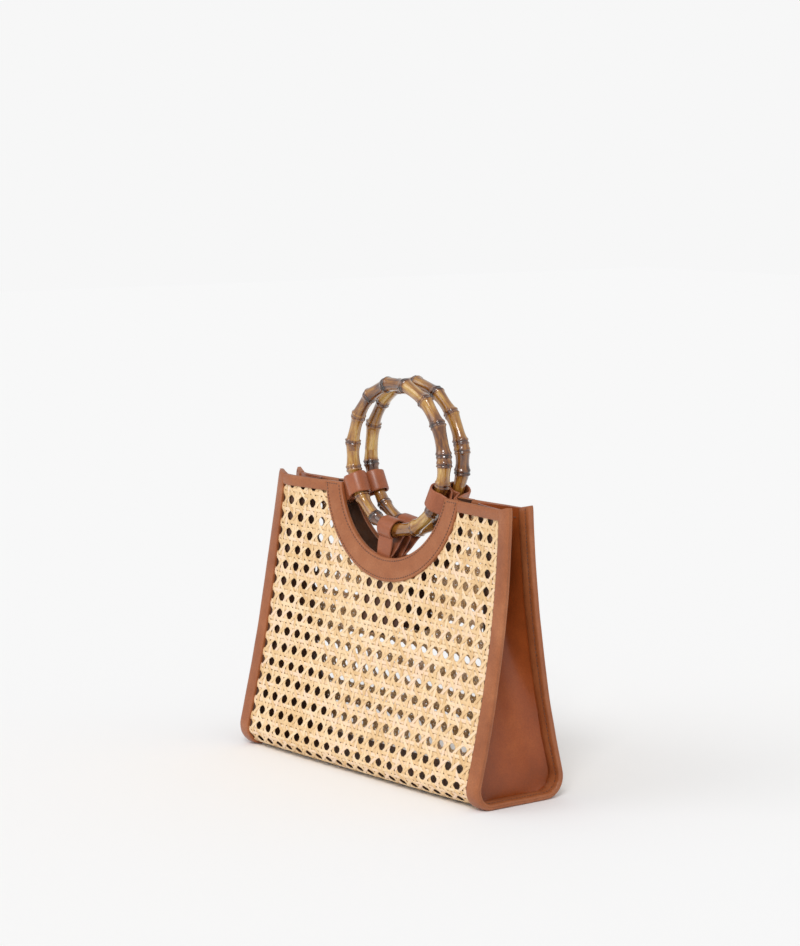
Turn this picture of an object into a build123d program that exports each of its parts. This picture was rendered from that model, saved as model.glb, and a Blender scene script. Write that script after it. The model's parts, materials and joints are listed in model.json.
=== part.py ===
from build123d import *

import os
from math import cos, floor, hypot, pi, radians, sin, sqrt

os.makedirs("parts", exist_ok=True)

# Millimetres. +X runs along the bag, the front faces -Y, the floor is Z = 0.
# The origin is under the middle of the bag's base.

# Body of the bag
BAG_LENGTH = 290.0
BAG_HEIGHT = 213.0
DEPTH_AT_FLOOR = 92.0
DEPTH_AT_MIDDLE = 44.0
DEPTH_AT_TOP = 19.5
CORNER_RADIUS = 15.5

# Woven cane sheet
CANE_THICK = 1.6
STRAND_PITCH = 25.4
GAP_ACROSS = 12.5
RIDGE_WIDTH = 6.6
RIDGE_HEIGHT = 0.7
LOWEST_GAP = 26.0

# Leather
LEATHER = 1.4
SEAM_GAP = 0.06
TOP_BAND_HEIGHT = 8.0
BINDING_WIDTH = 12.0
BINDING_TIP = 2.4
GUSSET_THICK = 1.5
GUSSET_ROOM = 0.4
GUSSET_FOLD_AT_TOP = 36.0
GUSSET_FOLD_AT_FLOOR = 3.0
GUSSET_SQUARENESS = 3.4
GUSSET_SEAM_WIDTH = 22.0
GUSSET_STEPS = 6
BOARD_THICK = 3.0
BOARD_MARGIN = 4.0

# Cutout for the handles
CUTOUT_RADIUS = 63.0
CUTOUT_ABOVE_EDGE = 12.5
FACING_WIDTH = 18.5
PATCH_WIDTH = 46.0
PATCH_DROP = 38.0

# Bamboo rings
RING_RADIUS = 55.0
RING_ABOVE_EDGE = 24.0
RING_SPACING = 17.4
RING_SET_BACK = 6.0
ROD_RADIUS = 5.2
ROD_SIDES = 8
NODE_RADIUS = 5.9
NODE_LENGTH = 5.0
NODE_ANGLES = [-168, -143, -120, -94, -69, -43, -18, -2, 5, 29, 52, 78, 101, 125, 148, 171]

# Leather loops that hold the rings
LOOP_WIDTH = 16.0
LOOP_THICK = 1.6
LOOP_CLEARANCE = 0.35
LOOP_TAIL = 14.0
LOOP_SIDES = 16
LOOP_ANGLES = {"left": -153.0, "bottom": -97.0, "right": -28.0}

HALF_LENGTH = BAG_LENGTH / 2
BINDING_INNER = HALF_LENGTH - BINDING_WIDTH
TIP_HEIGHT = BAG_HEIGHT + BINDING_TIP
CUTOUT_Z = BAG_HEIGHT + CUTOUT_ABOVE_EDGE
FACING_RADIUS = CUTOUT_RADIUS + FACING_WIDTH
RING_Z = BAG_HEIGHT + RING_ABOVE_EDGE
REACH = 2 * (BAG_LENGTH + BAG_HEIGHT)
SIDES = {"front": -1, "back": 1}

# Depths of the layers under the bindings' outer face
CANE_OUT = LEATHER
CANE_IN = CANE_OUT + CANE_THICK
LINING_OUT = CANE_IN + SEAM_GAP
LINING_IN = LINING_OUT + LEATHER
GUSSET_MIDDLE = CANE_IN + GUSSET_ROOM + GUSSET_THICK / 2
SLOT_IN = CANE_IN + 2 * GUSSET_ROOM + GUSSET_THICK
BINDING_IN = SLOT_IN + LEATHER


def wall_arc_centre():
    """Centre (half depth, height) and radius of the arc that each wall follows."""
    top, middle, floor_end = DEPTH_AT_TOP / 2, DEPTH_AT_MIDDLE / 2, DEPTH_AT_FLOOR / 2
    half = BAG_HEIGHT / 2
    chord_y, chord_z = floor_end - top, -BAG_HEIGHT
    chord = hypot(chord_y, chord_z)
    bow = (floor_end + top) / 2 - middle
    sag = bow * BAG_HEIGHT / chord
    radius = (chord**2 / 4 + sag**2) / (2 * sag)
    out_y, out_z = -chord_z / chord, chord_y / chord
    reach = radius - sag
    return (floor_end + top) / 2 + out_y * reach, half + out_z * reach, radius


ARC_Y, ARC_Z, ARC_RADIUS = wall_arc_centre()


def half_depth(z, depth=0.0):
    """Half the bag's depth at height z, on the layer that lies this deep."""
    return ARC_Y - sqrt((ARC_RADIUS + depth) ** 2 - (z - ARC_Z) ** 2)


def outline(depth):
    """The bag's end profile on the layer that lies this deep, open above the top edge."""
    radius = ARC_RADIUS + depth
    high, middle, low = TIP_HEIGHT + 2 * BINDING_TIP, BAG_HEIGHT / 2, depth
    points = [(half_depth(z, depth), z) for z in (high, middle, low)]
    right = ThreePointArc(*points)
    left = mirror(right, Plane.YZ)
    lines = [right, left, Line(points[0], (-points[0][0], high)), Line(points[2], (-points[2][0], low))]
    face = make_face(Curve() + lines)
    corners = face.vertices().sort_by(Axis.Y)[:2]
    return fillet(corners, CORNER_RADIUS - depth)


def layer(outer, inner, x_low, x_high, top):
    """The part of the bag's shell between two depths, from x_low to x_high, cut level at the top."""
    ring = outline(outer) - outline(inner)
    ring -= Pos(0, top + REACH / 2) * Rectangle(REACH, REACH)
    return Pos(x_low, 0, 0) * extrude(Plane.YZ * ring, x_high - x_low)


def through(sketch, side=0):
    """An outline of the wall's plane, pushed through both walls or only one."""
    plane = Plane.XZ
    if not side:
        return extrude(plane * sketch, REACH, both=True)
    return extrude(plane * sketch, -side * REACH)


def rectangle(x_low, x_high, z_low, z_high):
    return Pos((x_low + x_high) / 2, (z_low + z_high) / 2) * Rectangle(x_high - x_low, z_high - z_low)


def disc(radius):
    """A disc about the middle of the cutout."""
    return Pos(0, CUTOUT_Z) * Circle(radius)


def gap_places():
    """Middles of the open gaps in the weave, clear of the bands, bindings and facing."""
    room = (GAP_ACROSS + RIDGE_WIDTH) / 2
    columns = floor((BINDING_INNER - room) / STRAND_PITCH + 0.5)
    rows = floor((BAG_HEIGHT - TOP_BAND_HEIGHT - room - LOWEST_GAP) / STRAND_PITCH) + 1
    for row in range(rows):
        z = LOWEST_GAP + row * STRAND_PITCH
        for column in range(-columns, columns):
            x = (column + 0.5) * STRAND_PITCH
            if hypot(x, z - CUTOUT_Z) > FACING_RADIUS + room:
                yield x, z


def weave_outline():
    """The raised pairs of upright strands between the columns of gaps."""
    columns = floor(BINDING_INNER / STRAND_PITCH)
    high = BAG_HEIGHT - TOP_BAND_HEIGHT - 2 * SEAM_GAP
    low = LOWEST_GAP - STRAND_PITCH / 2
    pairs = [column * STRAND_PITCH for column in range(-columns, columns + 1)]
    strands = [rectangle(x - RIDGE_WIDTH / 2, x + RIDGE_WIDTH / 2, low, high) for x in pairs]
    return Sketch() + strands - disc(FACING_RADIUS + 2 * SEAM_GAP)


def gap_outline():
    """The open squares between the strands."""
    return Sketch() + [Pos(x, z) * Rectangle(GAP_ACROSS, GAP_ACROSS) for x, z in gap_places()]


def cane_body():
    """One sheet of cane webbing, front, base and back, with the cutouts in both walls."""
    end = HALF_LENGTH - LEATHER - SEAM_GAP
    body = layer(CANE_OUT, CANE_IN, -end, end, BAG_HEIGHT - LEATHER - SEAM_GAP)
    strands = layer(CANE_OUT - RIDGE_HEIGHT, CANE_IN - CANE_THICK / 2, -end, end, BAG_HEIGHT)
    body += strands & through(weave_outline())
    return body - through(disc(CUTOUT_RADIUS)) - through(gap_outline())


def top_band(side, hand):
    """Leather folded over the top edge, from the binding to the facing."""
    low = BAG_HEIGHT - TOP_BAND_HEIGHT
    end = BINDING_INNER - SEAM_GAP
    folded = layer(0, LINING_IN, 0, end, BAG_HEIGHT)
    folded -= layer(CANE_OUT - SEAM_GAP, LINING_OUT, 0, end, BAG_HEIGHT - LEATHER)
    folded -= layer(CANE_IN, LINING_IN + LEATHER, end - GUSSET_SEAM_WIDTH, end, BAG_HEIGHT)
    zone = rectangle(CUTOUT_RADIUS, end, low, BAG_HEIGHT) - disc(FACING_RADIUS + SEAM_GAP)
    band = folded & through(zone, side)
    return band if hand > 0 else mirror(band, Plane.YZ)


def facing(side, outer, inner):
    """The leather band round the cutout, on one face of the wall."""
    band = disc(FACING_RADIUS) - disc(CUTOUT_RADIUS)
    return layer(outer, inner, -FACING_RADIUS, FACING_RADIUS, BAG_HEIGHT) & through(band, side)


def patch(side):
    """Leather tab behind the weave that backs the bottom loop."""
    low = CUTOUT_Z - FACING_RADIUS - PATCH_DROP
    tab = rectangle(-PATCH_WIDTH / 2, PATCH_WIDTH / 2, low, CUTOUT_Z - CUTOUT_RADIUS)
    tab = fillet(tab.vertices().sort_by(Axis.Y)[:2], PATCH_WIDTH / 4)
    tab -= disc(FACING_RADIUS + SEAM_GAP)
    return layer(LINING_OUT, LINING_IN, -PATCH_WIDTH, PATCH_WIDTH, BAG_HEIGHT) & through(tab, side)


def binding(hand):
    """Folded leather strip that closes the seam of wall, base and gusset at one end."""
    folded = layer(0, BINDING_IN, BINDING_INNER, HALF_LENGTH, TIP_HEIGHT)
    slot = layer(CANE_OUT - SEAM_GAP, SLOT_IN, BINDING_INNER, HALF_LENGTH - LEATHER, BAG_HEIGHT)
    strip = folded - slot
    return strip if hand > 0 else mirror(strip, Plane.YZ)


def fold_line(z):
    """Level cut of the right gusset's fold: points on its outer face, then on its inner face."""
    start = BINDING_INNER - GUSSET_THICK
    side = half_depth(z, GUSSET_MIDDLE)
    fold = GUSSET_FOLD_AT_FLOOR + (GUSSET_FOLD_AT_TOP - GUSSET_FOLD_AT_FLOOR) * z / BAG_HEIGHT
    faces = []
    for offset in (-GUSSET_THICK / 2, GUSSET_THICK / 2):
        half = []
        for step in (1.0, 0.93, 0.84, 0.7, 0.45):
            slope = fold * GUSSET_SQUARENESS * step ** (GUSSET_SQUARENESS - 1) / side
            x = start - fold * (1 - step**GUSSET_SQUARENESS)
            half.append((x - offset / hypot(1, slope), step * side + offset * slope / hypot(1, slope), z))
        middle = (start - fold - offset, 0, z)
        faces.append(half + [middle] + [(x, -y, z) for x, y, z in reversed(half)])
    return faces[0] + faces[1][::-1]


def faceted_loft(outlines):
    """Solid through closed outlines of equally many points, with flat triangles between them."""
    faces = [Face(Wire.make_polygon(outline)) for outline in (outlines[0], outlines[-1])]
    for low, high in zip(outlines, outlines[1:]):
        for i in range(len(low)):
            after = (i + 1) % len(low)
            faces.append(Face(Wire.make_polygon([low[i], low[after], high[i]])))
            faces.append(Face(Wire.make_polygon([low[after], high[after], high[i]])))
    return Solid(Shell(faces))


def gusset(hand):
    """Leather end wall, folded inward more and more towards the mouth, with a flange in the seam."""
    depth = CANE_IN + GUSSET_ROOM
    seam = HALF_LENGTH - LEATHER - GUSSET_ROOM
    top = BAG_HEIGHT - SEAM_GAP
    flange = layer(depth, depth + GUSSET_THICK, BINDING_INNER - 2 * GUSSET_THICK, seam, top)
    fold = faceted_loft([fold_line(top * step / GUSSET_STEPS) for step in range(GUSSET_STEPS + 1)])
    room = extrude(Plane.YZ * outline(depth + GUSSET_THICK / 2), HALF_LENGTH)
    leather = flange + (fold & room)
    return leather if hand > 0 else mirror(leather, Plane.YZ)


def base_board():
    """Leather-covered board that lies on the cane base, its long edges shaped to the round corners."""
    low = CANE_IN + SEAM_GAP
    half_x = BINDING_INNER - GUSSET_FOLD_AT_FLOOR - 2 * GUSSET_THICK - BOARD_MARGIN
    half_y = half_depth(CORNER_RADIUS, CANE_IN) - CORNER_RADIUS / 2
    board = extrude(Pos(0, 0, low) * RectangleRounded(2 * half_x, 2 * half_y, BOARD_MARGIN), BOARD_THICK)
    return board & extrude(Plane.YZ * outline(low), HALF_LENGTH, both=True)


def ring_y(side):
    return RING_SET_BACK + side * RING_SPACING / 2


def rod_section(angle, radius, y):
    """The rod's outline in the plane through the ring's axis at this angle."""
    direction = Vector(cos(radians(angle)), 0, sin(radians(angle)))
    centre = Vector(0, y, RING_Z) + direction * RING_RADIUS
    plane = Plane(origin=centre, x_dir=direction, z_dir=direction.cross(Vector(0, 1, 0)))
    return (plane * RegularPolygon(radius, ROD_SIDES)).wire()


def ring(side):
    """Bent bamboo ring: nearly straight stretches between raised nodes."""
    y = ring_y(side)
    half_node = NODE_LENGTH / RING_RADIUS * 180 / pi / 2
    angles = sorted(NODE_ANGLES)
    sections = []
    for angle in angles:
        for shift, radius in ((-1, ROD_RADIUS), (0, NODE_RADIUS), (1, ROD_RADIUS)):
            sections.append((angle + shift * half_node, radius))
    sections.append((sections[0][0] + 360, sections[0][1]))
    middle = len(sections) // 2
    wires = [rod_section(angle, radius, y) for angle, radius in sections]
    first = Solid.make_loft(wires[: middle + 1], ruled=True)
    second = Solid.make_loft(wires[middle:], ruled=True)
    return first + second


def loop_hole():
    """Centre and radius of the room that the ring needs inside a straight loop as it turns."""
    spread = max(b - a for a, b in zip(sorted(NODE_ANGLES), sorted(NODE_ANGLES)[1:]))
    chord = RING_RADIUS * cos(radians(spread / 2))
    nearest = sqrt((chord - ROD_RADIUS) ** 2 - (LOOP_WIDTH / 2) ** 2) - LOOP_CLEARANCE
    farthest = RING_RADIUS + NODE_RADIUS + LOOP_CLEARANCE
    return (nearest + farthest) / 2, (farthest - nearest) / 2


def rim_distance(angle):
    """From the ring's axis to the cutout's rim, at the strap's nearer edge."""
    rise = sin(radians(angle))
    drop = RING_Z - CUTOUT_Z
    sideways = abs(cos(radians(angle))) * drop + LOOP_WIDTH / 2
    return sqrt(CUTOUT_RADIUS**2 - sideways**2) - rise * drop


def loop(side, angle):
    """Leather strap round the ring, with both ends laid together behind the facing."""
    centre, inner = loop_hole()
    outer = (inner + LOOP_THICK) / cos(pi / LOOP_SIDES)
    direction = Vector(cos(radians(angle)), 0, sin(radians(angle)))
    start = rim_distance(angle) - SEAM_GAP
    end = start + LOOP_TAIL

    def lining(distance):
        """How far behind the ring's plane the facing's inner face lies, this far from the axis."""
        z = RING_Z + direction.Z * distance + abs(direction.X) * LOOP_WIDTH / 2
        return side * (half_depth(min(z, BAG_HEIGHT), LINING_IN) - 2 * SEAM_GAP) - ring_y(side)

    inward = -side * 2 * LOOP_THICK
    shoulder = centre + 0.6 * outer
    strap = [
        (shoulder, 0.8 * side * outer),
        (start, lining(start)),
        (end, lining(end)),
        (end, lining(end) + inward),
        (start, lining(start) + inward),
        (shoulder, -0.8 * side * outer),
    ]
    profile = make_face(Polyline(*strap, close=True)) + Pos(centre, 0) * RegularPolygon(outer, LOOP_SIDES)
    profile -= Pos(centre, 0) * RegularPolygon(inner / cos(pi / LOOP_SIDES), LOOP_SIDES)
    along = direction.cross(Vector(0, 1, 0))
    plane = Plane(origin=(0, ring_y(side), RING_Z), x_dir=direction, z_dir=along)
    return extrude(plane * profile, LOOP_WIDTH / 2, both=True)


def write(name, shape):
    export_step(shape, f"parts/{name}.step")


HANDS = {"left": -1, "right": 1}

write("cane_body", cane_body())
write("base_board", base_board())
for hand_name, hand in HANDS.items():
    write(f"{hand_name}_binding", binding(hand))
    write(f"{hand_name}_gusset", gusset(hand))
for side_name, side in SIDES.items():
    for hand_name, hand in HANDS.items():
        write(f"{side_name}_top_band_{hand_name}", top_band(side, hand))
    write(f"{side_name}_facing", facing(side, 0, CANE_OUT - SEAM_GAP))
    write(f"{side_name}_inner_facing", facing(side, LINING_OUT, LINING_IN))
    write(f"{side_name}_patch", patch(side))
    write(f"{side_name}_ring", ring(side))
    for loop_name, angle in LOOP_ANGLES.items():
        write(f"{side_name}_loop_{loop_name}", loop(side, angle))
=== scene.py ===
import json
import random
from bisect import bisect
from math import asin, atan2, cos, exp, hypot, pi, radians, sin, sqrt

import bmesh
import bpy
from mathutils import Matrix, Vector, noise


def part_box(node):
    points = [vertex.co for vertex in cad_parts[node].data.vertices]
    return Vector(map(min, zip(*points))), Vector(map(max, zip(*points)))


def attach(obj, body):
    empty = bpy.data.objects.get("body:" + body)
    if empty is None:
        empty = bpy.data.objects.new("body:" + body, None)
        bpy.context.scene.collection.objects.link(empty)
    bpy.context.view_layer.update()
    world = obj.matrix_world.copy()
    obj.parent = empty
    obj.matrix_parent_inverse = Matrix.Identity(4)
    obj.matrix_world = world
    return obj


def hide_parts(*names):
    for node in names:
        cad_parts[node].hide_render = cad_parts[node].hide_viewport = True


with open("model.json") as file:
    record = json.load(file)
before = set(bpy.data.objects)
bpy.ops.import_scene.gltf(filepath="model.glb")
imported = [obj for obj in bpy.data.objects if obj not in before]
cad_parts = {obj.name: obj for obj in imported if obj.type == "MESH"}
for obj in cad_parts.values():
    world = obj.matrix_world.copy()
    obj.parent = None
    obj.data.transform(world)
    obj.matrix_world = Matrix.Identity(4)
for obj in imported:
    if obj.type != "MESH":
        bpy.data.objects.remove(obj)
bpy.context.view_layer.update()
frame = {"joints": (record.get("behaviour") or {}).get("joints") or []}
random.seed(7)

MM = 0.001
WALLS = {-1: "front", 1: "back"}
HANDS = {-1: "left", 1: "right"}


def box_mm(name):
    """Lowest and highest corner of a CAD node."""
    low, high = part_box(name)
    return [c / MM for c in low], [c / MM for c in high]


# Sizes in millimetres, from the frame
BINDING_LOW, BINDING_HIGH = box_mm("right_binding")
BAND_LOW, BAND_HIGH = box_mm("front_top_band_right")
PATCH_LOW, PATCH_HIGH = box_mm("front_patch")
BOARD_LOW, BOARD_HIGH = box_mm("base_board")
TOP = BAND_HIGH[2]
BAND_WIDTH = TOP - BAND_LOW[2]
HALF_LENGTH = BINDING_HIGH[0]
BINDING_INNER = BINDING_LOW[0]
TIP = BINDING_HIGH[2]
FACING_RADIUS = box_mm("front_facing")[1][0]
RING_CENTRES = {joint["child"]: [c / MM for c in joint["pos_m"]] for joint in frame["joints"]}

# Sizes that the frame doesn't hold
CUTOUT_RADIUS = 63.0
CUTOUT_Z = TOP + 12.5
DEPTH_AT_FLOOR = 92.0
DEPTH_AT_MIDDLE = 44.0
DEPTH_AT_TOP = 19.5
CORNER_RADIUS = 15.5
BINDING_THICK = 4.7
FOLD_AT_TOP = 36.0
FOLD_AT_FLOOR = 3.5
FOLD_SQUARENESS = 3.4
RING_RADIUS = 55.0
ROD_RADIUS = 5.1

# How far the soft bag has moved from its straight form: the mouth's middle back, both walls inward at
# the mouth and outward near the floor, and the rings with their loops back along the joints' axis
SWAY = 5.8
MOUTH_DIP = 2.3
BELLY = 2.6
RING_SWAY = 5.4
# The left end is turned back at the mouth and a little opened, past this x and over this reach.
TWIST, TWIST_OPEN = 9.6, 1.4
TWIST_FROM, TWIST_REACH = 118, 27
# The right end stands open and is shifted forward.
OPEN, OPEN_SHIFT = 2.7, 1.2
OPEN_FROM, OPEN_REACH = 60, 85
# The back wall hangs slack beside the left end.
SLACK = 1.7
SLACK_FROM, SLACK_REACH = 82, 60


def clamp(t, low=0.0, high=1.0):
    return min(max(t, low), high)


def smooth(t):
    t = clamp(t)
    return t * t * (3 - 2 * t)


def bell(distance, width):
    return exp(-((distance / width) ** 2))


def spread(low, high, count):
    """This many numbers, evenly from low to high."""
    return [low + (high - low) * i / (count - 1) for i in range(count)]


# The form of the bag


def arc_of_wall():
    """Centre (half depth, height) and radius of the arc that the end profile follows."""
    top, middle, low = DEPTH_AT_TOP / 2, DEPTH_AT_MIDDLE / 2, DEPTH_AT_FLOOR / 2
    chord = hypot(low - top, TOP)
    sag = ((low + top) / 2 - middle) * TOP / chord
    radius = (chord**2 / 4 + sag**2) / (2 * sag)
    reach = radius - sag
    return (low + top) / 2 + TOP / chord * reach, TOP / 2 + (low - top) / chord * reach, radius


ARC_Y, ARC_Z, ARC_R = arc_of_wall()


def half_depth(z):
    return ARC_Y - sqrt(ARC_R**2 - (z - ARC_Z) ** 2)


class Profile:
    """The end profile, front top to back top, as points with their outward normals, by arc length."""

    WALL_STEPS, CORNER_STEPS, BASE_STEPS = 160, 12, 10

    def __init__(self, top):
        # The corner circle touches the wall and the floor.
        radius = CORNER_RADIUS
        centre_y = ARC_Y - sqrt((ARC_R + radius) ** 2 - (radius - ARC_Z) ** 2)
        start = asin((top - ARC_Z) / ARC_R)
        end = asin((radius - ARC_Z) / (ARC_R + radius))
        half = []
        for i in range(self.WALL_STEPS + 1):
            a = start + (end - start) * i / self.WALL_STEPS
            half.append((ARC_Y - ARC_R * cos(a), ARC_Z + ARC_R * sin(a), cos(a), -sin(a)))
        first = atan2(half[-1][1] - radius, half[-1][0] - centre_y)
        for i in range(1, self.CORNER_STEPS + 1):
            a = first + (-pi / 2 - first) * i / self.CORNER_STEPS
            half.append((centre_y + radius * cos(a), radius + radius * sin(a), cos(a), sin(a)))
        wall_count = len(half)
        for i in range(1, self.BASE_STEPS + 1):
            half.append((centre_y * (1 - i / self.BASE_STEPS), 0.0, 0.0, -1.0))
        # The front wall comes first, at negative Y.
        self.points = [(-y, z, -ny, nz) for y, z, ny, nz in half] + half[-2::-1]
        self.lengths = [0.0]
        for a, b in zip(self.points, self.points[1:]):
            self.lengths.append(self.lengths[-1] + hypot(a[0] - b[0], a[1] - b[1]))
        self.total = self.lengths[-1]
        # Height and arc length of the front wall's points
        self.wall = [(point[1], s) for point, s in zip(self.points, self.lengths)][:wall_count]

    def at(self, s):
        """(y, z, normal y, normal z) at this arc length."""
        s = clamp(s, 0.0, self.total)
        low = min(bisect(self.lengths, s) - 1, len(self.points) - 2)
        t = (s - self.lengths[low]) / (self.lengths[low + 1] - self.lengths[low])
        return [a + (b - a) * t for a, b in zip(self.points[low], self.points[low + 1])]

    def down_to(self, z):
        """Arc length from the start of the profile down to height z on the front wall."""
        for (za, sa), (zb, sb) in zip(self.wall, self.wall[1:]):
            if zb <= z <= za:
                return sa + (sb - sa) * (za - z) / (za - zb)
        return 0.0 if z > self.wall[0][0] else self.wall[-1][1]


# The profile starts a little above the bindings' tips, and the mouth's edge lies this far down it.
PROFILE = Profile(TIP + 4)
EDGE = PROFILE.down_to(TOP)
SHEET_LENGTH = PROFILE.total - 2 * EDGE


def drift(x, y, z):
    """How far the soft bag has moved from its straight form, along Y."""
    u = min(abs(x) / HALF_LENGTH, 1.0)
    h = min(z / TOP, 1.02)
    across = (1 - u * u) ** 1.3
    belly = BELLY * (1 - u**4) * max(0.0, 1 - h * 2.2) - MOUTH_DIP * across * smooth(h * 1.4)
    # From -1 at the front wall to 1 at the back wall
    side = clamp(y / (half_depth(clamp(z, 0, TOP)) * 0.7), -1.0)
    turned = clamp((-x - TWIST_FROM) / TWIST_REACH) ** 1.4
    opened = smooth((x - OPEN_FROM) / OPEN_REACH)
    ends = turned * (TWIST + TWIST_OPEN * side) + opened * (OPEN * side - OPEN_SHIFT)
    slack = SLACK * sin(pi * clamp((-x - SLACK_FROM) / SLACK_REACH)) * max(side, 0) * h**6
    return side * belly + SWAY * across * h * h + ends * max(h, 0) ** 3 + slack


def place(x, s, depth):
    """A point of the bag's skin: x along it, s down the profile from the front's top edge, and how deep."""
    y, z, ny, nz = PROFILE.at(s + EDGE)
    y -= ny * depth
    z -= nz * depth
    return Vector((x, y + drift(x, y, z), z)) * MM


def down(z):
    """s at height z on the front wall."""
    return PROFILE.down_to(z) - EDGE


def wall(side, x, z, depth):
    """A point of one wall at this height."""
    s = down(z)
    return place(x, s if side < 0 else SHEET_LENGTH - s, depth)


def outward(side, x, z):
    """Direction out of one wall."""
    return (wall(side, x, z, 0) - wall(side, x, z, 2)).normalized()


# Materials

COAT_ROUGHNESS = 0.12


def material(name, roughness, coat=0.0, sheen=0.0, specular=0.5):
    """A new material, its node tree and its shader."""
    mat = bpy.data.materials.new(name)
    mat.use_nodes = True
    shader = mat.node_tree.nodes["Principled BSDF"]
    shader.inputs["Roughness"].default_value = roughness
    shader.inputs["Coat Weight"].default_value = coat
    shader.inputs["Coat Roughness"].default_value = COAT_ROUGHNESS
    shader.inputs["Sheen Weight"].default_value = sheen
    shader.inputs["Specular IOR Level"].default_value = specular
    return mat, mat.node_tree, shader


def node(tree, kind, inputs=None, **settings):
    """A new shader node: each input is a value or a socket to link."""
    made = tree.nodes.new(kind)
    for key, value in settings.items():
        setattr(made, key, value)
    for key, value in (inputs or {}).items():
        if isinstance(value, bpy.types.NodeSocket):
            tree.links.new(value, made.inputs[key])
        else:
            made.inputs[key].default_value = value
    return made


def rgb(code):
    """Linear colour of an sRGB hex code."""
    parts = [int(code[i : i + 2], 16) / 255 for i in (0, 2, 4)]
    return tuple(c / 12.92 if c <= 0.04045 else ((c + 0.055) / 1.055) ** 2.4 for c in parts) + (1.0,)


def ramp(tree, factor, stops):
    made = node(tree, "ShaderNodeValToRGB", {"Fac": factor})
    elements = made.color_ramp.elements
    while len(elements) < len(stops):
        elements.new(0.5)
    for element, (position, code) in zip(elements, stops):
        element.position = position
        element.color = rgb(code)
    return made.outputs["Color"]


def multiply(tree, factor, a, b):
    """Colour a shaded by colour b. The Mix node keeps its colours in sockets 6 and 7, and 2 going out."""
    inputs = {0: factor, 6: a, 7: b}
    return node(tree, "ShaderNodeMix", inputs, data_type="RGBA", blend_type="MULTIPLY").outputs[2]


def calculate(tree, operation, *values):
    return node(tree, "ShaderNodeMath", dict(enumerate(values)), operation=operation).outputs[0]


def coordinates(tree, scale=(1, 1, 1)):
    """Object coordinates, stretched by this scale."""
    where = node(tree, "ShaderNodeTexCoord").outputs["Object"]
    return node(tree, "ShaderNodeMapping", {"Vector": where, "Scale": scale}).outputs["Vector"]


def attribute(tree, name, output="Fac"):
    return node(tree, "ShaderNodeAttribute", attribute_name=name).outputs[output]


def cloudy(tree, where, scale, detail, roughness=0.5):
    """Noise texture, from 0 to 1."""
    inputs = {"Vector": where, "Scale": scale, "Detail": detail, "Roughness": roughness}
    return node(tree, "ShaderNodeTexNoise", inputs).outputs["Fac"]


def map_range(tree, value, low, high):
    """A value from 0 to 1, brought between low and high."""
    inputs = {"Value": value, "To Min": low, "To Max": high}
    return node(tree, "ShaderNodeMapRange", inputs).outputs[0]


def bump(tree, height, strength, distance):
    """A bump node. Its distance is in metres."""
    inputs = {"Height": height, "Strength": strength, "Distance": distance}
    return node(tree, "ShaderNodeBump", inputs)


def leather(name, dark, mid, light, roughness=0.42):
    """Smooth calf leather: cloudy colour, fine pores, and a sheen that varies with the clouds."""
    mat, tree, shader = material(name, roughness, coat=0.08, specular=0.45)
    where = coordinates(tree)
    clouds = cloudy(tree, where, 38.0, 5.0, 0.6)
    colour = ramp(tree, clouds, [(0.25, dark), (0.52, mid), (0.8, light)])
    specks = ramp(tree, cloudy(tree, where, 900.0, 3.0), [(0.35, "D8D8D8"), (0.65, "FFFFFF")])
    tree.links.new(multiply(tree, 0.5, colour, specks), shader.inputs["Base Color"])
    tree.links.new(map_range(tree, clouds, roughness - 0.07, roughness + 0.09), shader.inputs["Roughness"])
    pores = node(tree, "ShaderNodeTexVoronoi", {"Vector": where, "Scale": 1400.0})
    grain = bump(tree, pores.outputs["Distance"], 0.12, 0.0002)
    swells = bump(tree, cloudy(tree, where, 120.0, 3.0), 0.25, 0.0006)
    tree.links.new(grain.outputs["Normal"], swells.inputs["Normal"])
    tree.links.new(swells.outputs["Normal"], shader.inputs["Normal"])
    return mat


CANE_STOPS = [(0.2, "DFB883"), (0.42, "EFCD9E"), (0.58, "F7DBB3"), (0.72, "F6D8BB"), (0.85, "ECCE99")]


def cane_material(name, fibres):
    """Split cane: each strand has its own straw tone, with fibres stretched along it."""
    mat, tree, shader = material(name, 0.42, coat=0.1, specular=0.4)
    patches = cloudy(tree, coordinates(tree), 45.0, 4.0)
    tone = calculate(tree, "MULTIPLY", calculate(tree, "ADD", attribute(tree, "tone"), patches), 0.5)
    fibre = cloudy(tree, coordinates(tree, fibres), 300.0, 4.0)
    shade = ramp(tree, fibre, [(0.3, "DCC6A2"), (0.55, "FFFFFF")])
    colour = multiply(tree, 0.35, ramp(tree, tone, CANE_STOPS), shade)
    tree.links.new(colour, shader.inputs["Base Color"])
    tree.links.new(bump(tree, fibre, 0.25, 0.0003).outputs["Normal"], shader.inputs["Normal"])
    return mat


def bamboo_material():
    """Lacquered bamboo root: honey to scorched brown, streaked along the rod and darkest at the nodes."""
    mat, tree, shader = material("bamboo_lacquer", 0.16, coat=1.0, specular=0.6)
    grain = attribute(tree, "grain", "Vector")
    blotches = cloudy(tree, grain, 1.1, 5.0, 0.62)
    streaks = cloudy(tree, grain, 4.2, 4.0)
    fine = cloudy(tree, coordinates(tree), 420.0, 3.0)
    total = calculate(tree, "MULTIPLY", blotches, 0.66)
    tone, dark = attribute(tree, "tone"), attribute(tree, "node")
    for source, weight in ((tone, 0.17), (streaks, 0.2), (dark, -0.145), (fine, 0.05)):
        total = calculate(tree, "MULTIPLY_ADD", source, weight, total)
    stops = [(0.3, "27140A"), (0.41, "5C331A"), (0.5, "8A5722"), (0.59, "AE7C34"), (0.7, "CFAA62")]
    tree.links.new(ramp(tree, total, stops), shader.inputs["Base Color"])
    tree.links.new(bump(tree, fine, 0.15, 0.0005).outputs["Normal"], shader.inputs["Normal"])
    return mat


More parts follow.
